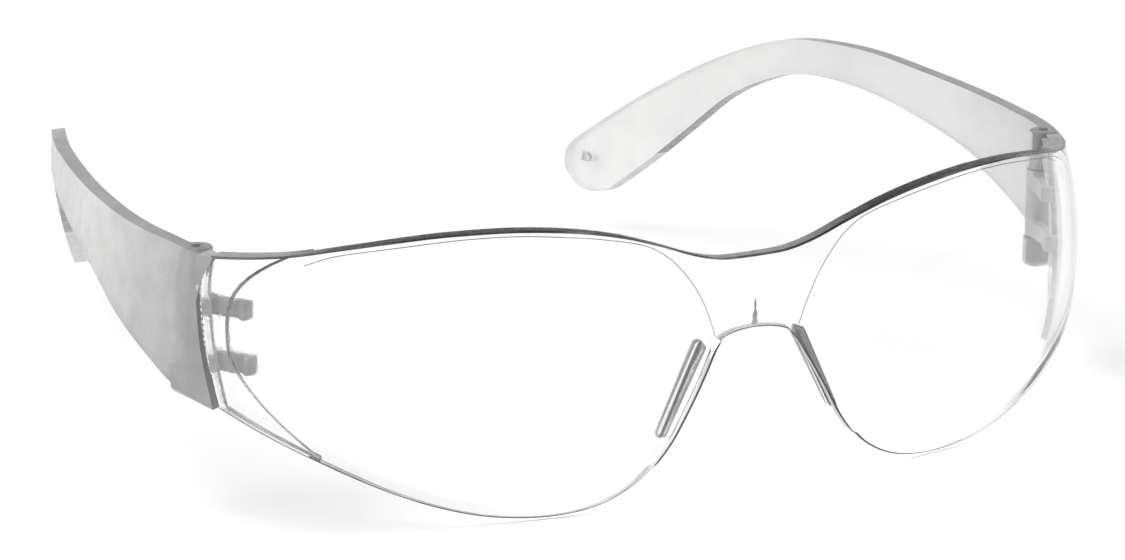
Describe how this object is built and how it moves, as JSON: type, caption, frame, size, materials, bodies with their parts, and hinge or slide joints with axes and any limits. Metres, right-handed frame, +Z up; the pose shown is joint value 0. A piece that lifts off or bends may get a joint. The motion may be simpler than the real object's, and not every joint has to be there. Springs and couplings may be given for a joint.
{
  "type": "safety glasses",
  "caption": "Clear wraparound safety glasses with a one-piece lens, nose ribs and two folding frosted temples on pinned hinges.",
  "frame": {"origin": "centre of the footprint, level with the lowest edge of the lens", "axes": "+X to the wearer's left, +Y back along the temples from the lens, +Z up"},
  "size_m": [0.1506, 0.1402, 0.0411],
  "materials": {
    "clear_lens": "polished, water clear",
    "clear_pad": "polished, clear",
    "frosted_clip": "frosted, translucent",
    "frosted_temple": "frosted, translucent",
    "pin_steel": "drawn wire"
  },
  "bodies": {
    "front": {"lens": "clear_lens", "nose_pad_left": "clear_pad", "nose_pad_right": "clear_pad", "hinge_clip_left": "frosted_clip", "hinge_clip_right": "frosted_clip"},
    "left_temple": {"temple_left": "frosted_temple", "hinge_pin_left": "pin_steel"},
    "right_temple": {"temple_right": "frosted_temple", "hinge_pin_right": "pin_steel"}
  },
  "joints": [
    {"name": "left_temple_fold", "type": "hinge", "parent": "front", "child": "left_temple", "pos_m": [0.0695, -0.03416, 0.02484], "axis": [0, 0, 1], "range_deg": [0, 90]},
    {"name": "right_temple_fold", "type": "hinge", "parent": "front", "child": "right_temple", "pos_m": [-0.0695, -0.03416, 0.02484], "axis": [0, 0, -1], "range_deg": [0, 80]}
  ]
}
